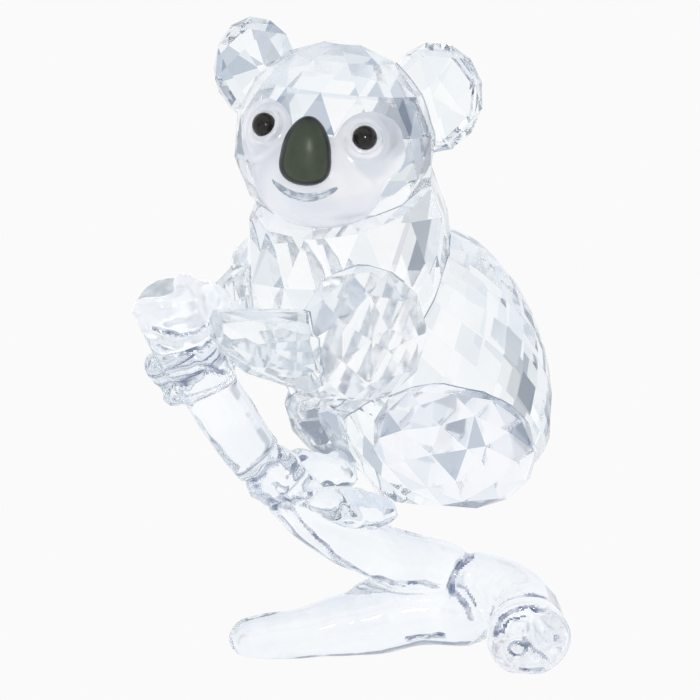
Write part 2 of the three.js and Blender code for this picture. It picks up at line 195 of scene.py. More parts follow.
def add_floor():
    """A plain pale sheet under the figurine, as bright as the backdrop."""
    mesh = bpy.data.meshes.new("floor")
    signs = [(-1, -1), (1, -1), (1, 1), (-1, 1)]
    corners = [(x * FLOOR_HALF, y * FLOOR_HALF, -FLOOR_DROP) for x, y in signs]
    mesh.from_pydata(corners, [], [(0, 1, 2, 3)])
    floor = bpy.data.objects.new("floor", mesh)
    bpy.context.scene.collection.objects.link(floor)
    sheet = bpy.data.materials.new("pale floor")
    sheet.use_nodes = True
    tree = sheet.node_tree
    tree.nodes.clear()
    glow = new_node(tree, "ShaderNodeEmission")
    glow.inputs["Color"].default_value = (PAPER, PAPER, PAPER, 1)
    link(tree, glow.outputs[0], new_node(tree, "ShaderNodeOutputMaterial").inputs["Surface"])
    mesh.materials.append(sheet)
    floor.visible_transmission = False
    floor.visible_glossy = False
    floor.visible_diffuse = False
    floor.visible_shadow = False


def add_flash():
    """A small lamp beside the camera, for the glints on the beads."""
    light = bpy.data.lights.new("flash", "AREA")
    light.shape = "DISK"
    light.size = FLASH["size"]
    light.energy = FLASH["power"]
    flash = bpy.data.objects.new("flash", light)
    bpy.context.scene.collection.objects.link(flash)
    flash.location = CAMERA_AIM + FLASH["place"]
    flash.rotation_euler = (flash.location - CAMERA_AIM).to_track_quat("Z", "Y").to_euler()
    flash.visible_transmission = False
    flash.visible_diffuse = False


def set_light_paths():
    scene = bpy.context.scene
    scene.view_settings.view_transform = "Standard"
    cycles = scene.cycles
    cycles.max_bounces = 32
    cycles.transmission_bounces = 32
    cycles.glossy_bounces = 16
    cycles.diffuse_bounces = 4
    cycles.transparent_max_bounces = 16
    cycles.caustics_reflective = True
    cycles.caustics_refractive = True
    cycles.blur_glossy = 0.0


# ---- Materials ----


def shader(name, **values):
    """A material with one principled shader, its plain values set on its own sockets."""
    material = bpy.data.materials.new(name)
    material.use_nodes = True
    surface = material.node_tree.nodes["Principled BSDF"]
    for key, value in values.items():
        surface.inputs[key.replace("_", " ")].default_value = value
    return material, material.node_tree, surface


def cloud(tree, scale, detail=2.0, distortion=0.0):
    """Soft noise through the piece, with its scale in waves per metre."""
    place = new_node(tree, "ShaderNodeTexCoord").outputs["Object"]
    pattern = new_node(tree, "ShaderNodeTexNoise")
    pattern.inputs["Scale"].default_value = scale
    pattern.inputs["Detail"].default_value = detail
    pattern.inputs["Distortion"].default_value = distortion
    link(tree, place, pattern.inputs["Vector"])
    return pattern.outputs["Fac"]


def clear_glass(name, light, deep, roughness, ior=1.55, mottle=160):
    """A clear glass that varies softly between two tints."""
    material, tree, surface = shader(name, Transmission_Weight=1.0, IOR=ior)
    tone = ramp(tree, cloud(tree, mottle), 0.35, 0.65)
    link(tree, mix_colours(tree, tone, light, deep), surface.inputs["Base Color"])
    link(tree, ramp(tree, cloud(tree, 900), 0.55, 0.8, *roughness), surface.inputs["Roughness"])
    return material


def milky_glass(name, light, deep, roughness, mottle=120, clearness=0.5, ior=1.45, glow=0.0):
    """A glass with milk in it. Its glow stands for the light that gathers inside."""
    material, tree, surface = shader(name, Transmission_Weight=clearness, IOR=ior, Emission_Strength=glow)
    tone = ramp(tree, cloud(tree, mottle), 0.3, 0.7)
    link(tree, mix_colours(tree, tone, light, deep), surface.inputs["Base Color"])
    link(tree, ramp(tree, cloud(tree, 700), 0.3, 0.7, *roughness), surface.inputs["Roughness"])
    return material


def jet(light, deep, roughness):
    """Polished black stone with faint mottling."""
    material, tree, surface = shader("jet", Specular_IOR_Level=0.3)
    mottle = cloud(tree, 2500, 3.0)
    link(tree, mix_colours(tree, mottle, deep, light), surface.inputs["Base Color"])
    link(tree, ramp(tree, mottle, 0.3, 0.7, *roughness), surface.inputs["Roughness"])
    return material


def smoke(light, deep, rim, roughness):
    """Smoky glass, with painted shade where it turns away at the rim of the cabochon."""
    material, tree, surface = shader(
        "smoky glass", Transmission_Weight=0.6, IOR=1.4, Specular_IOR_Level=0.3,
    )
    turn = new_node(tree, "ShaderNodeLayerWeight").outputs["Facing"]
    haze = cloud(tree, 900, 2.0, 0.4)
    middle = mix_colours(tree, haze, deep, light)
    # The rim colour is painted shade, laid on by how far the surface turns away.
    link(tree, mix_colours(tree, ramp(tree, turn, *RIM_SHADE_TURN), middle, rim), surface.inputs["Base Color"])
    link(tree, ramp(tree, haze, 0.3, 0.7, *roughness), surface.inputs["Roughness"])
    return material


# Painted facet shades: lit and shaded copies of the crystal, from pale to dark, for facets that face
# different ways.
FACET_SHADES = ((0.98, 0.995, 1.0), (0.94, 0.965, 0.985), (0.79, 0.845, 0.9), (0.36, 0.43, 0.53))
FACET_SHADE_DEPTH = 0.96  # how much light the deeper parts of each painted shade keep
# The share of facets that has each painted shade, for stones of each kind.
PALE = (0.62, 0.26, 0.12, 0.0)
CALM = (0.55, 0.29, 0.15, 0.01)
EVEN = (0.42, 0.32, 0.25, 0.01)
LIVELY = (0.47, 0.24, 0.17, 0.12)
BOLD = (0.34, 0.27, 0.30, 0.09)
SHADED = (0.28, 0.3, 0.28, 0.14)
# The darker painted shades that the facets round an ear's rim get.
DARK_RIM_SHADES = (0.2, 0.2, 0.3, 0.3)
RIM_SLANT = 0.5  # facets of an ear that face less along its axis belong to its rim, which gets more painted shade
RIM_SHADE_TURN = (0.34, 0.46)  # how far the nose turns away where its painted dark rim shade begins and is full
WHITE = (1.0, 1.0, 1.0)
LILAC = (0.95, 0.95, 1.0)


def shaded_copies(name, hue, roughness):
    """One crystal for each painted facet shade, all of one hue."""
    crystals = []
    for i, facet_shade in enumerate(FACET_SHADES):
        light = [part * share for part, share in zip(facet_shade, hue)]
        crystals.append(clear_glass(f"{name} {i}", light, [FACET_SHADE_DEPTH * part for part in light], roughness))
    return crystals


# Each set is the crystal in its painted lit and shaded copies.
CRYSTALS = shaded_copies("cut crystal", WHITE, (0.05, 0.1))
SOFT_CRYSTALS = shaded_copies("soft cut crystal", WHITE, (0.09, 0.14))
LILAC_CRYSTALS = shaded_copies("lilac cut crystal", LILAC, (0.1, 0.15))
CAST = clear_glass("cast glass", (0.96, 0.98, 1.0), (0.89, 0.925, 0.965), (0.03, 0.07), ior=1.48)
# Painted shade for the glass deep in the grooves and streaks of the casting.
CREASE_SHADE = clear_glass(
    "cast glass with painted crease shade", (0.66, 0.71, 0.82), (0.06, 0.08, 0.17), (0.03, 0.07), ior=1.48, mottle=700,
)
# Its glow is painted light, which brightens the near paw and the knob's end.
MOULDED = milky_glass(
    "milky moulded glass", WHITE, (0.97, 0.975, 1.0), (0.02, 0.05),
    mottle=420, clearness=0.62, ior=1.35, glow=0.08,
)
FROSTED = milky_glass("frosted face", (1.0, 0.99, 1.0), (0.85, 0.845, 0.91), (0.16, 0.22))
# Dark lines at the glued joints between the stones: the joints themselves, and painted shade where the
# stones meet.
GLUE_AND_SHADE_LINE = milky_glass("glue and painted shade", (0.5, 0.56, 0.63), (0.15, 0.2, 0.28), (0.2, 0.3), mottle=260, clearness=0.7)
GROOVE = clear_glass(
    "shaded groove", (0.62, 0.68, 0.76), (0.12, 0.15, 0.22), (0.03, 0.07), ior=1.5, mottle=700,
)
SAWN = milky_glass("sawn glass", (0.86, 0.89, 0.90), (0.56, 0.61, 0.64), (0.4, 0.6), mottle=900)
JET = jet((0.028, 0.025, 0.021), (0.012, 0.011, 0.009), (0.04, 0.12))
# The third colour is the painted shade at the nose's rim.
SMOKE = smoke((0.1, 0.12, 0.078), (0.062, 0.08, 0.05), (0.012, 0.018, 0.018), (0.34, 0.4))

# ---- Sizes, in millimetres ----

LEFT, RIGHT = 1, -1
SAME_POINT = 1e-4  # corners of a stone nearer than this are one
WELD = 0.0005  # and so are corners of the solids nearer than this
FLAT_ANGLE = math.radians(0.5)  # faces that turn less than this are one facet
# The rods along the glued joints, dark with painted shade: the corner angle they follow, their radius and
# sides.
GLUE_AND_SHADE_RODS = {"angle": math.radians(20), "radius": 0.08, "sides": 8}
SOCKET_GAP = 0.06  # between a bead or the nose and its cup


def pose(place, about_x=0.0, about_y=0.0, about_z=0.0):
    """A place, turned by degrees about X, Y and Z in that order."""
    turn = Euler([math.radians(angle) for angle in (about_x, about_y, about_z)])
    return Matrix.Translation(place) @ turn.to_matrix().to_4x4()


# The same frames and sizes as the solids: the animal that is turned in the display, and its head.
ANIMAL = DISPLAY @ pose((9, 4, 0), 0, 0, 205)
MIRROR = Matrix.Scale(-1, 4, (0, 1, 0))

# Rows of a stone's corners are each [latitude, corners].
HEAD = {
    "place": (11.6, 0, 53.3), "turn": 50, "lean": -5.5, "radii": (8.7, 10.2, 10.0),
    "rows": [[79, 5], [57, 10], [34, 14], [10, 15], [-14, 15], [-38, 13], [-62, 8], [-90, 1]],
}
NECK = ANIMAL @ pose(HEAD["place"], 0, 0, HEAD["turn"]) @ pose((0, 0, 0), HEAD["lean"])
CHEEK = {"place": (2.0, 4.0, 0.4), "radii": (7.1, 4.7, 5.0)}
MUZZLE = {"place": (3.6, 0, -2.6), "radii": (7.3, 7.0, 5.8)}
FACE = {"voxel": 0.2, "rounds": 14, "swell": (3.4, 0.12, (4, 1, 6))}  # swell: wave, height, offset
SMILE = {"half_width": 3.3, "z": -3.1, "sag": 1.3, "radius": 0.36, "end_radius": 0.12, "fullness": 0.6}
EYE = {
    "place": (8.25, 5.1, 1.85), "radius": 1.22, "flatten": 0.9, "turn": 19,
    "rim": (1.55, 0.22, 0.2), "dip": (2.2, 0.35, -0.14),  # each how far out, how wide and how high
}
NOSE = {
    "place": (10.6, 0, 0.2), "depth": 2.2, "half_width": 2.45, "half_height": 3.4,
    "taper": 0.16, "square": 3.5,
}
EAR = {
    "rows": [[66, 4], [34, 8], [2, 13], [-45, 8], [-90, 1]],
    LEFT: {"place": (-3.2, 8.8, 5.1), "outward": 20, "radii": (5.6, 5.0, 2.5)},
    RIGHT: {"place": (-2.6, -9.5, 5.9), "outward": -16, "radii": (5.2, 4.9, 2.5)},
}
CHEST = {
    "neck": ((17.6, 6.7, 44.3), (0.283, 0.314, 0.906)),
    "place": (10.0, 0, 41.0), "radii": (10.7, 9.4, 16.0),
    "rows": [[90, 1], [64, 8], [41, 11], [18, 12], [-5, 12], [-28, 12], [-53, 9], [-90, 1]],
}
BODY = {
    "place": (-0.1, 0, 28.5), "lean": 15, "radii": (11.2, 9.7, 16.4),
    "table": [90, 1, 0.3],  # the facet on top: latitude, facets, depth of its cut
    "equator": 20, "diamond": 1.35, "crown": 1.6, "lowest": -70,
    "counts": ((0.75, 20), (0.45, 16), (0, 9)),  # each [share of the girth, facets in wider rows]
    "seat": ((0, 0, 16.8), (0, 0, -1)), "rump": ((-7.2, 0, 20.2), (-0.53, 0, -0.85)),
}
THIGH = {
    "lean": -18, "radii": (9.1, 5.1, 6.3), "back": 4.6, LEFT: (2.1, 8.0, 23.4), RIGHT: (4.6, 7.6, 24.4),
    "rows": [[82, 3], [57, 7], [33, 11], [9, 14], [-15, 14], [-45, 10], [-90, 1]],
}
ARM = {
    "radii": (6.7, 4.7, 7.0), "elbow": Vector((5.6, -0.8, -1.5)),
    "elbow_half": (3.2, 4.4), "wrist_half": (1.9, 1.9),
    "rows": [[80, 3], [50, 7], [20, 10], [-10, 10], [-42, 8], [-90, 1]],
    "middle": 0.68, "swell": 1.18, "sides": 8, "root": 3.6, "root_share": 0.4,
    LEFT: {"shoulder": Vector((12.7, 8.9, 35.3)), "wrist": Vector((26.9, 5.6, 36.3))},
    RIGHT: {"shoulder": Vector((12.9, 8.8, 37.7)), "wrist": Vector((26.8, 4.8, 33.2))},
}
# Each stone's own lot of painted facet shades. A pair's left and right stones count up and down from it.
LOTS = {"chest": 7, "body": 2, "thigh": 35, "upper_arm": 15, "forearm": 24, "head": 21, "ear": 41}


# ---- Ways of shaping ----


def copy_of(*names):
    """CAD nodes as one welded mesh, in millimetres."""
    bm = bmesh.new()
    for name in names:
        bm.from_mesh(NODES[name].data)
    bmesh.ops.transform(bm, matrix=Matrix.Scale(1 / MM, 4), verts=bm.verts)
    bmesh.ops.remove_doubles(bm, verts=bm.verts, dist=WELD)
    return bm


def plain(mesh):
    """Drops the shading that came with the solids, so that the piece is shaded by its own faces."""
    for name in ("custom_normal", "sharp_edge", "sharp_face"):
        if name in mesh.attributes:
            mesh.attributes.remove(mesh.attributes[name])


def to_object(name, bm, *materials):
    mesh = bpy.data.meshes.new(name)
    bm.to_mesh(mesh)
    bm.free()
    plain(mesh)
    for material in materials:
        mesh.materials.append(material)
    obj = bpy.data.objects.new(name, mesh)
    bpy.context.scene.collection.objects.link(obj)
    return obj


def apply_modifiers(obj):
    """Turns the modifiers into the mesh itself."""
    bpy.context.view_layer.update()
    shaped = obj.evaluated_get(bpy.context.evaluated_depsgraph_get())
    mesh = bpy.data.meshes.new_from_object(shaped)
    obj.modifiers.clear()
    obj.data = mesh
    return mesh


def finish(obj, slot, *nodes):
    """Brings a piece to metres, hangs it from the root, and hides the CAD nodes that it stands for."""
    obj.data.transform(Matrix.Scale(MM, 4))
    obj.data.update()
    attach(obj, "root")
    if nodes:
        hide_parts(*nodes)


def stone_object(bm, lot_number, crystals, shares, axis=None):
    """A stone whose facets get painted shades by lot, and darker painted shades round its rim if it has an
    axis.
    """
    obj = to_object("stone", bm, *crystals)
    lot = random.Random(lot_number)
    for polygon in obj.data.polygons:
        # Facets round an ear's rim draw more of the darker painted shades.
        on_rim = axis is not None and abs(polygon.normal.dot(axis)) < RIM_SLANT
        polygon.material_index = lot.choices(range(len(crystals)), DARK_RIM_SHADES if on_rim else shares)[0]
    return obj


def shade_stones(mesh, rounded):
    """Flat facets, but smooth faces where the material is one of the rounded ones."""
    slots = [slot in rounded for slot in mesh.materials]
    for polygon in mesh.polygons:
        polygon.use_smooth = slots[polygon.material_index]


def ball(radii, matrix, sides, rings):
    """A fine ellipsoid as a bmesh."""
    bm = bmesh.new()
    bmesh.ops.create_uvsphere(bm, u_segments=sides, v_segments=rings, radius=1)
    bmesh.ops.transform(bm, matrix=matrix @ Matrix.Diagonal((*radii, 1)), verts=bm.verts)
    return bm


def across(matrix, place, side):
    """A place in the head's frame, on its left (1) or right (-1)."""
    return matrix @ Matrix.Translation((place[0], side * place[1], place[2]))


def combine(obj, tool, operation):
    """Joins a tool to a piece or takes it away, and uses the tool up."""
    step = obj.modifiers.new(operation.lower(), "BOOLEAN")
    step.solver = "EXACT"
    step.operation = operation
    step.material_mode = "TRANSFER"
    step.object = tool
    apply_modifiers(obj)
    bpy.data.objects.remove(tool)


def geometry_tree(name, inputs):
    """An empty tree with a geometry output and the named inputs, each {name: socket type}."""
    tree = bpy.data.node_groups.new(name, "GeometryNodeTree")
    tree.interface.new_socket("Geometry", in_out="OUTPUT", socket_type="NodeSocketGeometry")
    for title, kind in inputs.items():
        tree.interface.new_socket(title, in_out="INPUT", socket_type=kind)
    return tree, new_node(tree, "NodeGroupInput").outputs


def end_tree(tree, geometry, material):
    """Makes the instances real and gives them their material."""
    real = new_node(tree, "GeometryNodeRealizeInstances")
    painted = new_node(tree, "GeometryNodeSetMaterial")
    link(tree, geometry, real.inputs["Geometry"])
    link(tree, real.outputs[0], painted.inputs["Geometry"])
    link(tree, material, painted.inputs["Material"])
    link(tree, painted.outputs[0], new_node(tree, "NodeGroupOutput").inputs["Geometry"])


def grown(tree, mesh, **values):
    """The mesh that a tree makes from a starting mesh and its named inputs."""
    obj = bpy.data.objects.new("start", mesh)
    bpy.context.scene.collection.objects.link(obj)
    modifier = obj.modifiers.new("nodes", "NODES")
    modifier.node_group = tree
    for socket in tree.interface.items_tree:
        if socket.in_out == "INPUT" and socket.name in values:
            modifier[socket.identifier] = values[socket.name]
    bm = bmesh.new()
    bm.from_mesh(apply_modifiers(obj))
    bpy.data.objects.remove(obj)
    return bm


def rod_tree():
    """A round rod that follows a line of points and takes its radius from each."""
    sockets = {"Line": "NodeSocketGeometry", "Sides": "NodeSocketInt", "Material": "NodeSocketMaterial"}
    tree, given = geometry_tree("rod along a line", sockets)
    curve = new_node(tree, "GeometryNodeMeshToCurve")
    link(tree, given["Line"], curve.inputs["Mesh"])
    radius = new_node(tree, "GeometryNodeInputNamedAttribute", data_type="FLOAT")
    radius.inputs["Name"].default_value = "thickness"
    thick = new_node(tree, "GeometryNodeSetCurveRadius")
    link(tree, curve.outputs[0], thick.inputs["Curve"])
    link(tree, radius.outputs["Attribute"], thick.inputs["Radius"])
    profile = new_node(tree, "GeometryNodeCurvePrimitiveCircle")
    link(tree, given["Sides"], profile.inputs["Resolution"])
    rod = new_node(tree, "GeometryNodeCurveToMesh")
    link(tree, thick.outputs[0], rod.inputs["Curve"])
    link(tree, profile.outputs[0], rod.inputs["Profile Curve"])
    link(tree, radius.outputs["Attribute"], rod.inputs["Scale"])
    rod.inputs["Fill Caps"].default_value = True
    end_tree(tree, rod.outputs[0], given["Material"])
    return tree


def rods(points, edges, radii, material, sides):
    """Round rods along the edges between points, as a bmesh. Radii are given at each point."""
    line = bpy.data.meshes.new("line")
    line.from_pydata(points, edges, [])
    line.attributes.new("thickness", "FLOAT", "POINT").data.foreach_set("value", radii)
    return grown(rod_tree(), line, Sides=sides, Material=material)


def even_out(obj, voxel, rounds):
    """Runs the parts of a mesh together into one even skin."""
    remesh = obj.modifiers.new("remesh", "REMESH")
    remesh.mode = "VOXEL"
    remesh.voxel_size = voxel
    evened = obj.modifiers.new("even", "SMOOTH")
    evened.factor = 0.5
    evened.iterations = rounds
    materials = list(obj.data.materials)
    mesh = apply_modifiers(obj)
    mesh.materials.clear()
    for material in materials:
        mesh.materials.append(material)


def points_of(mesh):
    points = np.empty(len(mesh.vertices) * 3)
    mesh.vertices.foreach_get("co", points)
    return points.reshape(-1, 3)


def normals_of(mesh):
    normals = np.empty(len(mesh.vertices) * 3, dtype=np.float32)
    mesh.vertex_normals.foreach_get("vector", normals)
    return normals.reshape(-1, 3)


def push(mesh, heights):
    """Moves each point along its normal."""
    points = points_of(mesh) + normals_of(mesh) * np.asarray(heights)[:, None]
    mesh.vertices.foreach_set("co", points.ravel())
    mesh.update()


def ripples(points, wave, height, offset=(0, 0, 0)):
    """Smooth noise at each point, with waves of that length."""
    shift = Vector(offset)
    return np.array([noise.noise(Vector(point) / wave + shift) for point in points]) * height


def waves(points, *sets):
    """The sum of several sets of ripples, each [wave, height, offset]."""
    return sum(ripples(points, *each) for each in sets)


def bulge(distance, middle, width, height):
    """A soft rise where the distance is near its middle."""
    return height * np.exp(-(((distance - middle) / width) ** 2))


# ---- The cut stones ----


def flats(radii, rows):
    """Planes that touch an ellipsoid in staggered rows, each a point and a normal."""
    planes = []
    for row, (latitude, count, depth) in enumerate(rows):
        level = math.cos(math.radians(latitude))
        for i in range(count):
            around = 2 * math.pi * (i + (row % 2) / 2) / count
            touch = Vector((
                radii[0] * level * math.cos(around),
                radii[1] * level * math.sin(around),
                radii[2] * math.sin(math.radians(latitude)),
            ))
            normal = Vector([part / radius**2 for part, radius in zip(touch, radii)]).normalized()
            planes.append((touch - normal * depth, normal))
    return planes


def turned(planes, matrix):
    """The same planes, moved and turned."""
    turn = matrix.to_3x3()
    return [(matrix @ point, (turn @ normal).normalized()) for point, normal in planes]


def hull(corners):
    """The convex solid round some corners, with whole flat faces."""
    bm = bmesh.new()
    for corner in corners:
        bm.verts.new(corner)
    bmesh.ops.remove_doubles(bm, verts=bm.verts, dist=SAME_POINT)
    bmesh.ops.convex_hull(bm, input=bm.verts)
    bmesh.ops.delete(bm, geom=[vert for vert in bm.verts if not vert.link_faces], context="VERTS")
    bmesh.ops.recalc_face_normals(bm, faces=bm.faces)
    bmesh.ops.dissolve_limit(bm, angle_limit=FLAT_ANGLE, verts=bm.verts, edges=bm.edges)
    return bm


def ground_stone(planes, middle):
    """The convex solid behind all planes, found from the hull of their poles round a point inside."""
    inside = Vector(middle)
    poles = bmesh.new()
    normals = {}
    for point, normal in planes:
        distance = (point - inside).dot(normal)
        pole = poles.verts.new(normal / distance)
        normals[pole] = (normal, distance)
    bmesh.ops.convex_hull(poles, input=poles.verts)
    corners = []
    for face in poles.faces:
        rows = [normals[vert] for vert in face.verts]
        matrix = Matrix([row[0] for row in rows])
        if abs(matrix.determinant()) > 1e-6:
            corners.append(inside + matrix.inverted() @ Vector([row[1] for row in rows]))
    poles.free()
    return hull(corners)


def moved(bm, matrix):
    """The same mesh, moved and turned, or mirrored with its faces outward again."""
    bmesh.ops.transform(bm, matrix=matrix, verts=bm.verts)
    bmesh.ops.recalc_face_normals(bm, faces=bm.faces)
    return bm


def trimmed(bm, point, normal):
    """Keeps what lies behind a plane, and closes the cut."""
    cut = bmesh.ops.bisect_plane(
        bm, geom=bm.verts[:] + bm.edges[:] + bm.faces[:], plane_co=point, plane_no=normal, clear_outer=True,
    )
    rim = [part for part in cut["geom_cut"] if isinstance(part, bmesh.types.BMEdge)]
    bmesh.ops.edgeloop_fill(bm, edges=rim)
    return bm


def on_side(side):
    """The animal's frame, mirrored for its right side."""
    return ANIMAL if side == LEFT else ANIMAL @ MIRROR


def stone_tree(rows):
    """A stone whose corners lie on an ellipsoid in staggered rows, each [latitude, corners]."""
    sockets = {"Radii": "NodeSocketVector", "Material": "NodeSocketMaterial"}
    tree, given = geometry_tree("pointed stone", sockets)
    corners = new_node(tree, "GeometryNodeJoinGeometry")
    for row, (latitude, count) in enumerate(rows):
        level = math.radians(latitude)
        if count > 1:
            ring_of = new_node(tree, "GeometryNodeMeshCircle")
            ring_of.inputs["Vertices"].default_value = count
            ring_of.inputs["Radius"].default_value = math.cos(level)
        else:
            ring_of = new_node(tree, "GeometryNodeMeshLine")
            ring_of.inputs["Count"].default_value = 1
        placed = new_node(tree, "GeometryNodeTransform")
        link(tree, ring_of.outputs[0], placed.inputs["Geometry"])
        placed.inputs["Translation"].default_value = (0, 0, math.sin(level))
        placed.inputs["Rotation"].default_value = (0, 0, math.pi * (row % 2) / count)
        link(tree, placed.outputs[0], corners.inputs[0])
    hull_of = new_node(tree, "GeometryNodeConvexHull")
    link(tree, corners.outputs[0], hull_of.inputs[0])
    sized = new_node(tree, "GeometryNodeTransform")
    link(tree, hull_of.outputs[0], sized.inputs["Geometry"])
    link(tree, given["Radii"], sized.inputs["Scale"])
    end_tree(tree, sized.outputs[0], given["Material"])
    return tree


def pointed_stone(radii, rows):
    """The convex stone that its corners span, with whole flat facets."""
    bm = grown(stone_tree(rows), bpy.data.meshes.new("stone"), Radii=radii, Material=CRYSTALS[0])
    bmesh.ops.dissolve_limit(bm, angle_limit=FLAT_ANGLE, verts=bm.verts, edges=bm.edges)
    bmesh.ops.recalc_face_normals(bm, faces=bm.faces)
    return bm


def head_stone():
    return moved(pointed_stone(HEAD["radii"], HEAD["rows"]), NECK)


def ear_frame(side):
    ear = EAR[side]
    return NECK @ pose(ear["place"], 0, 0, ear["outward"]) @ pose((0, 0, 0), 0, 90)


def ear_stone(side):
    return moved(pointed_stone(EAR[side]["radii"], EAR["rows"]), ear_frame(side))


def chest_stone():
    stone = moved(pointed_stone(CHEST["radii"], CHEST["rows"]), pose(CHEST["place"]))
    return moved(trimmed(stone, *CHEST["neck"]), ANIMAL)


def body_stone():
    """An egg of diamond facets, ground row by row from its crown down."""
    radii = BODY["radii"]
    rows = [BODY["table"]]
    step = BODY["diamond"] * 180 * radii[0] / (BODY["equator"] * radii[2])
    latitude = 90 - BODY["crown"] * step
    while latitude > BODY["lowest"]:
        girth = math.cos(math.radians(latitude))
        count = next(count for share, count in BODY["counts"] if girth > share)
        rows.append([latitude, count, 0])
        latitude -= step
    planes = turned(flats(radii, rows), pose(BODY["place"], 0, BODY["lean"]))
    planes += [(Vector(BODY[key][0]), Vector(BODY[key][1]).normalized()) for key in ("seat", "rump")]
    return moved(ground_stone(planes, BODY["place"]), ANIMAL)


def thigh_stone(side):
    """A faceted dome with a flat back against the body."""
    length, width, height = THIGH["radii"]
    dome = moved(pointed_stone((length, height, width), THIGH["rows"]), pose((0, 0, 0), -90))
    stone = moved(dome, pose(THIGH[side], 0, THIGH["lean"]))
    return moved(trimmed(stone, (0, THIGH["back"], 0), (0, -1, 0)), on_side(side))


def arm_ring(centre, half, turn):
    """A many-sided ring of corners across a forearm."""
    angles = [2 * math.pi * (i + turn) / ARM["sides"] for i in range(ARM["sides"])]
    return [centre + Vector((0, half[0] * math.cos(angle), half[1] * math.sin(angle))) for angle in angles]


def upper_arm(side):
    """A pointed stone that lies on its side at the shoulder."""
    length, width, height = ARM["radii"]
    bead = moved(pointed_stone((length, height, width), ARM["rows"]), pose((0, 0, 0), -90))
    return moved(bead, on_side(side) @ pose(ARM[side]["shoulder"]))


def forearm(side):
    """A long stone from inside the upper arm to the wrist, fullest below its middle."""
    elbow = ARM[side]["shoulder"] + ARM["elbow"]
    wrist = ARM[side]["wrist"]
    pairs = zip(ARM["elbow_half"], ARM["wrist_half"])
    half = [ARM["swell"] * (near + (far - near) * ARM["middle"]) for near, far in pairs]
    middle = elbow.lerp(wrist, ARM["middle"])
    middle.z -= half[1] * (1 - 1 / ARM["swell"])
    root_half = [ARM["root_share"] * near for near in ARM["elbow_half"]]
    corners = arm_ring(elbow - Vector((ARM["root"], 0, 0)), root_half, 0.5)
    corners += arm_ring(elbow, ARM["elbow_half"], 0.5) + arm_ring(middle, half, 0)
    return moved(hull(corners + arm_ring(wrist, ARM["wrist_half"], 0.5)), on_side(side))


# ---- The head ----


def egg(grow=0.0):
    """The nose: an egg-shaped cabochon, narrow at the top."""
    bm = bmesh.new()
    bmesh.ops.create_uvsphere(bm, u_segments=64, v_segments=40, radius=1)
    for vert in bm.verts:
        x, y, z = vert.co
        if -1 < z < 0:
            fuller = math.sqrt((1 - abs(z) ** NOSE["square"]) / (1 - z * z))
            x, y = x * fuller, y * fuller
        width = (NOSE["half_width"] + grow) * (1 - NOSE["taper"] * z)
        vert.co = ((NOSE["depth"] + grow) * x, width * y, (NOSE["half_height"] + grow) * z)
    bmesh.ops.transform(bm, matrix=NECK @ Matrix.Translation(NOSE["place"]), verts=bm.verts)
    return bm


def eye_frame(side):
    return across(NECK, EYE["place"], side) @ pose((0, 0, 0), 0, 0, side * EYE["turn"])


def eye_bead(side, grow=0.0):
    radius = EYE["radius"] + grow
    return ball((radius * EYE["flatten"], radius, radius), eye_frame(side), 48, 32)


def smile_line(count=25):
    """Points along the smile on the muzzle, and the groove's radius at each."""
    points = []
    radii = []
    for i in range(count):
        share = 2 * i / (count - 1) - 1
        y = share * SMILE["half_width"]
        z = SMILE["z"] - SMILE["sag"] * (1 - share**2)
        level = 1 - (y / MUZZLE["radii"][1]) ** 2 - ((z - MUZZLE["place"][2]) / MUZZLE["radii"][2]) ** 2
        points.append(NECK @ Vector((MUZZLE["place"][0] + MUZZLE["radii"][0] * math.sqrt(level), y, z)))
        radii.append(SMILE["end_radius"] + SMILE["radius"] * (1 - share**2) ** SMILE["fullness"])
    return points, radii


def smile_groove():
    """The rod that is sawn out of the muzzle, closed at its ends."""
    points, radii = smile_line()
    edges = [(i, i + 1) for i in range(len(points) - 1)]
    groove = rods(points, edges, radii, GROOVE, 24)
    bmesh.ops.remove_doubles(groove, verts=groove.verts, dist=SAME_POINT)
    bmesh.ops.recalc_face_normals(groove, faces=groove.faces)
    return to_object("groove", groove, GROOVE)


def face_mask():
    """The smooth cheeks and muzzle, run together, with a rim and a dip round each eye."""
    mask = bmesh.new()
    for lobe, side in ((CHEEK, LEFT), (CHEEK, RIGHT), (MUZZLE, LEFT)):
        part = ball(lobe["radii"], across(NECK, lobe["place"], side), 96, 64)
        mesh = bpy.data.meshes.new("lobe")
        part.to_mesh(mesh)
        part.free()
        mask.from_mesh(mesh)
    obj = to_object("face", mask, FROSTED)
    even_out(obj, FACE["voxel"], FACE["rounds"])
    points = points_of(obj.data)
    heights = ripples(points, *FACE["swell"])
    for side in (LEFT, RIGHT):
        eye = np.array(across(NECK, EYE["place"], side).translation)
        distance = np.linalg.norm(points - eye, axis=1)
        heights += bulge(distance, *EYE["rim"]) + bulge(distance, *EYE["dip"])
    push(obj.data, heights)
    return obj


def make_glue(mesh):
    """Thin dark lines in the corners between the stones: glued joints, darkened with painted shade where
    the stones meet.
    """
    bm = bmesh.new()
    bm.from_mesh(mesh)
    bm.normal_update()
    corners = [
        edge for edge in bm.edges
        if len(edge.link_faces) == 2 and edge.calc_face_angle_signed() < -GLUE_AND_SHADE_RODS["angle"]
    ]
    places = {}
    for edge in corners:
        for vert in edge.verts:
            places.setdefault(vert, len(places))
    points = [vert.co.copy() for vert in places]
    edges = [[places[vert] for vert in edge.verts] for edge in corners]
    bm.free()
    lines = rods(points, edges, [GLUE_AND_SHADE_RODS["radius"]] * len(points), GLUE_AND_SHADE_LINE, GLUE_AND_SHADE_RODS["sides"])
    seam = to_object("glue_and_shade_lines", lines, GLUE_AND_SHADE_LINE)
    seam.data.shade_smooth()
    seam.visible_transmission = False
    finish(seam, "cut_crystal")


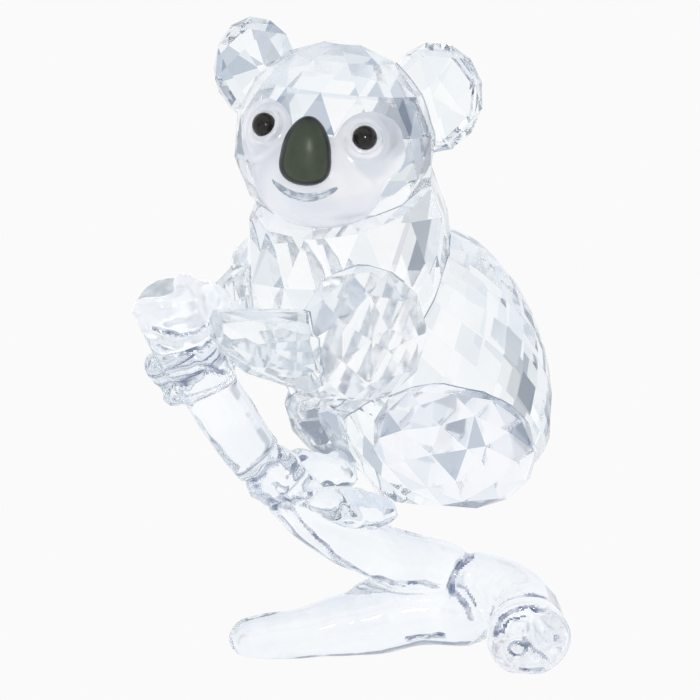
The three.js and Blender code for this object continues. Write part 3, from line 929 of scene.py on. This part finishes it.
def make_crystal():
    """The cut stones, glued into one clear body: the head with its face, the trunk and the limbs."""
    koala = stone_object(chest_stone(), LOTS["chest"], CRYSTALS, PALE)
    koala.name = koala.data.name = "koala_crystal"
    combine(koala, stone_object(body_stone(), LOTS["body"], CRYSTALS, CALM), "UNION")
    for side, crystals in ((LEFT, LILAC_CRYSTALS), (RIGHT, CRYSTALS)):
        limbs = (
            (thigh_stone(side), LOTS["thigh"] + side, crystals, SHADED),
            (upper_arm(side), LOTS["upper_arm"] + side, SOFT_CRYSTALS, EVEN),
            (forearm(side), LOTS["forearm"] + side, SOFT_CRYSTALS, EVEN),
        )
        for limb in limbs:
            combine(koala, stone_object(*limb), "UNION")
    combine(koala, stone_object(head_stone(), LOTS["head"], SOFT_CRYSTALS, BOLD), "UNION")
    for side in (LEFT, RIGHT):
        axis = ear_frame(side).to_3x3() @ Vector((0, 0, 1))
        ear = stone_object(ear_stone(side), LOTS["ear"] + side, CRYSTALS, LIVELY, axis)
        combine(koala, ear, "UNION")
    make_glue(koala.data)
    combine(koala, face_mask(), "UNION")
    cuts = [smile_groove()]
    for cup in (eye_bead(LEFT, SOCKET_GAP), eye_bead(RIGHT, SOCKET_GAP), egg(SOCKET_GAP)):
        cuts.append(to_object("cup", cup, CRYSTALS[0]))
    for cut in cuts:
        combine(koala, cut, "DIFFERENCE")
    shade_stones(koala.data, (FROSTED,))
    pairs = [f"{name}_{side}" for name in ("thigh", "arm", "ear") for side in ("left", "right")]
    finish(koala, "cut_crystal", "head", "chest", "body", *pairs)


def make_eyes():
    for side, name in ((LEFT, "left"), (RIGHT, "right")):
        bead = to_object(f"eye_bead_{name}", eye_bead(side), JET)
        bead.data.shade_smooth()
        finish(bead, "black_bead", f"eye_{name}")


def make_nose():
    nose = to_object("nose_cabochon", egg(), SMOKE)
    nose.data.shade_smooth()
    finish(nose, "smoky_glass", "nose")


# ---- The cast glass ----

BRANCH = {"nodes": ["branch_stem", "branch_limb", "branch_knob"], "voxel": 0.2, "swell": 0.3, "rounds": 60}
# The moulded paws and feet, each with the swell that closes its gap to the branch.
PAWS_AND_FEET = {"paw_left": 0.5, "paw_right": 0.3, "foot_left": 0.3, "foot_right": 0.3}
PAW = {"voxel": 0.15, "rounds": 18, "folds": ((2.4, 0.25, (2, 5, 8)), (1.3, 0.24, (6, 1, 4)))}
NEAR_PAW = "paw_left"
MILKY_REACH = 0.3  # how far from the near paw the glass is milky
CASTING = {"voxel": 0.19, "rounds": 18, "folds": ((5.5, 0.3, (0, 0, 0)), (2.6, 0.08, (7, 3, 1)))}
SAWN_END = ((-18.4, -9.4, 37.8), (-0.3, -0.6, 0.74))  # a point of the sawn plane, and its normal
SAWN_RIM = 0.6  # folds begin this far from the sawn plane
SAWN_BAND = 0.22  # faces this near to the sawn plane, and as square to it, are frosted
SAWN_SQUARE = 0.94
KNOB_END = ((17.7, -10.6, 4.2), (0.05, -1, -0.3), 4.4, 1.7)  # place, direction, radius, fall of its rim
CREASE_DEPTH = 0.2  # glass that lies deeper in a groove gets painted dark shade
WOBBLE = {"ring": (2.4, 0.7, (5, 9, 2)), "across": (1.6, 0.35, (3, 0, 8)), "up": (1.6, 0.35, (8, 3, 0))}
# Knots and grooves of the casting, each [place, direction of the rod, width, height, reach].
KNOTS = (
    [(-7.2, -3.9, 20.5), (-0.63, -0.3, 0.72), 0.7, 0.3, 4.5],
    [(-8.3, -4.3, 22.0), (-0.63, -0.3, 0.72), 0.4, -0.35, 4.5],
    [(-5.8, -3.2, 18.9), (-0.63, -0.3, 0.72), 0.4, -0.3, 4.5],
    [(-14.6, -7.3, 32.0), (-0.5, -0.25, 0.83), 0.5, -0.35, 4.5],
    [(-15.2, -7.6, 33.2), (-0.5, -0.25, 0.83), 0.6, 0.25, 4.5],
    [(11.2, 4.4, 8.5), (0.9, -0.1, -0.4), 0.4, -0.4, 3.4],
    [(17.7, -5.2, 4.8), (0, -1, -0.1), 0.5, -0.6, 6.5],
)
# Round lips on the knob's end, each [place, radius, width, height].
LIPS = (
    [(16.4, -10.9, 3.6), 1.1, 0.22, -0.35],
    [(20.2, -9.4, 5.0), 0.2, 0.5, -0.45],
)
# Streaks in the front of the cast glass, each [line of (x, z) in the display's frame, width, height].
STREAKS = (
    [((-7.6, 19.6), (-4.6, 15.4), (-1.6, 12.0), (1.4, 9.4)), 0.3, -0.3],
    [((0.2, 9.5), (4.2, 8.7), (9.0, 8.0)), 0.3, -0.35],
    [((1.5, 8.7), (5.5, 7.9)), 0.2, -0.3],
    [((10.3, 7.6), (11.6, 6.2), (12.2, 4.6)), 0.35, -0.4],
    [((11.5, 7.6), (12.9, 5.8)), 0.2, -0.3],
    [((14.3, 5.3), (14.9, 7.1), (15.8, 7.9), (17.5, 8.5), (19.2, 8.0)), 0.3, -0.45],
    [((15.0, 5.6), (15.7, 6.9), (17.4, 7.4)), 0.18, -0.3],
    [((17.3, 5.1), (18.2, 3.6), (19.4, 2.6)), 0.25, -0.35],
    [((16.8, 1.3), (19.2, 1.1)), 0.25, -0.4],
    [((5.8, 2.2), (9.6, 2.7)), 0.25, -0.35],
    [((-14.0, 3.6), (-6.0, 5.0), (2.0, 6.4)), 0.35, -0.12],
    [((-19.2, 36.4), (-16.6, 35.6), (-13.6, 36.4)), 0.25, -0.4],
    [((-19.0, 34.6), (-16.4, 33.4), (-12.8, 34.6)), 0.22, -0.4],
    [((-17.4, 31.4), (-14.8, 32.4), (-12.2, 31.4)), 0.22, -0.4],
)


def skin(nodes, voxel, swell, rounds):
    """One smooth skin over CAD nodes: swollen until gaps close, remeshed, and drawn back."""
    bm = copy_of(*nodes)
    bm.normal_update()
    for vert in bm.verts:
        vert.co += vert.normal * swell
    obj = to_object("skin", bm)
    even_out(obj, voxel, rounds)
    push(obj.data, np.full(len(obj.data.vertices), -swell))
    return obj


def keep_in_box(mesh):
    """Keeps a piece on the floor and inside the solids' own box."""
    low, high = (np.array(corner) / MM for corner in cad_box)
    points = np.clip(points_of(mesh), low, high)
    mesh.vertices.foreach_set("co", points.ravel())
    mesh.update()


def from_place(points, place):
    """How far points lie from a place of the display, along each axis."""
    return points - np.array(DISPLAY @ Vector(place))


def heights_over(points, place, direction):
    """How far points lie above a plane of the display."""
    return from_place(points, place) @ np.array(Vector(direction).normalized())


def ring(points, centre, axis, width, height, reach):
    """A raised or sunk ring round a rod, at a place on its middle line."""
    along = heights_over(points, centre, axis) + ripples(points, *WOBBLE["ring"])
    near = np.clip(reach + 1 - np.linalg.norm(from_place(points, centre), axis=1), 0, 1)
    return near * bulge(along, 0, width, height)


def lip(points, centre, radius, width, height):
    """A round lip on a face."""
    return bulge(np.linalg.norm(from_place(points, centre), axis=1), radius, width, height)


def streak(points, normals, line, width, height):
    """A raised or sunk line across the front, that wavers a little and fades round the side."""
    wander = [ripples(points, *WOBBLE[way]) for way in ("across", "up")]
    flat = from_place(points, (0, 0, 0))[:, [0, 2]] + np.column_stack(wander)
    nearest = np.full(len(points), np.inf)
    for start, end in zip(line, line[1:]):
        start = np.array(start)
        stretch = np.array(end) - start
        share = np.clip((flat - start) @ stretch / (stretch @ stretch), 0, 1)
        nearest = np.minimum(nearest, np.linalg.norm(flat - start - share[:, None] * stretch, axis=1))
    front = np.clip(-2 * normals[:, 1], 0, 1)
    return front * bulge(nearest, 0, width, height)


def grooves(mesh):
    """How far each point of the casting is raised or sunk by its knots, lips and streaks."""
    points = points_of(mesh)
    normals = normals_of(mesh)
    depths = np.zeros(len(points))
    for knot in KNOTS:
        depths += ring(points, *knot)
    for round_lip in LIPS:
        depths += lip(points, *round_lip)
    for line in STREAKS:
        depths += streak(points, normals, *line)
    return depths


def round_off(mesh, centre, axis, radius, fall):
    """Lets the rim of a flat end fall back along its axis."""
    points = points_of(mesh)
    facing = np.array(Vector(axis).normalized())
    along = heights_over(points, centre, axis)
    distance = np.linalg.norm(from_place(points, centre) - along[:, None] * facing, axis=1)
    share = np.clip(distance / radius, 0, 1) ** 2 * np.clip(1 + along / (2 * fall), 0, 1)
    mesh.vertices.foreach_set("co", (points - fall * share[:, None] * facing).ravel())
    mesh.update()


def saw_off(mesh, place, normal):
    """Cuts a piece at a plane of the display's frame."""
    bm = bmesh.new()
    bm.from_mesh(mesh)
    trimmed(bm, DISPLAY @ Vector(place), Vector(normal).normalized())
    bm.to_mesh(mesh)
    bm.free()


def on_cut(polygon):
    """Tells of a face whether it lies on the sawn plane."""
    square = polygon.normal.dot(Vector(SAWN_END[1]).normalized()) > SAWN_SQUARE
    return square and abs(heights_over(np.array(polygon.center), *SAWN_END)) < SAWN_BAND


def on_knob_end(polygon):
    """Tells of a face whether it lies on the knob's flat end."""
    place, direction, _, fall = KNOB_END
    return heights_over(np.array(polygon.center), place, direction) > -fall


def near_to(surface):
    """A test of a face: whether it lies near to a surface."""
    return lambda polygon: surface.find_nearest(polygon.center, MILKY_REACH)[0] is not None


def deep_in(depths):
    """A test of a face: whether it lies deep in a groove."""
    return lambda polygon: np.mean([depths[i] for i in polygon.vertices]) < -CREASE_DEPTH


def paint(mesh, material, chosen):
    """Gives a material to the faces that pass a test."""
    slot = list(mesh.materials).index(material)
    for polygon in mesh.polygons:
        if chosen(polygon):
            polygon.material_index = slot


def make_cast_glass():
    """The branch with the paws and feet that are moulded to it."""
    branch = skin(BRANCH["nodes"], BRANCH["voxel"], BRANCH["swell"], BRANCH["rounds"])
    saw_off(branch.data, *SAWN_END)
    whole = bmesh.new()
    whole.from_mesh(branch.data)
    bpy.data.objects.remove(branch)
    for node, swell in PAWS_AND_FEET.items():
        paw = skin([node], PAW["voxel"], swell, PAW["rounds"])
        mesh = paw.data
        push(mesh, waves(points_of(mesh), *PAW["folds"]))
        whole.from_mesh(mesh)
        if node == NEAR_PAW:
            corners = [vert.co for vert in mesh.vertices]
            hand = BVHTree.FromPolygons(corners, [polygon.vertices for polygon in mesh.polygons])
        bpy.data.objects.remove(paw)
    cast = to_object("cast_glass", whole, CAST, SAWN, CREASE_SHADE, MOULDED)
    even_out(cast, CASTING["voxel"], CASTING["rounds"])
    mesh = cast.data
    round_off(mesh, *KNOB_END)
    points = points_of(mesh)
    depths = grooves(mesh)
    free = np.clip(np.abs(heights_over(points, *SAWN_END)) - SAWN_RIM, 0, 1)
    push(mesh, free * waves(points, *CASTING["folds"]) + depths)
    keep_in_box(mesh)
    mesh.shade_smooth()
    # The near paw and the knob's end get the milky glass with its painted glow.
    paint(mesh, MOULDED, near_to(hand))
    paint(mesh, MOULDED, on_knob_end)
    paint(mesh, SAWN, on_cut)
    # Painted shade in the grooves and streaks.
    paint(mesh, CREASE_SHADE, deep_in(depths))
    finish(cast, "cast_glass", *BRANCH["nodes"], *PAWS_AND_FEET)


add_camera()
add_world()
add_floor()
add_flash()
set_light_paths()
make_crystal()
make_eyes()
make_nose()
make_cast_glass()
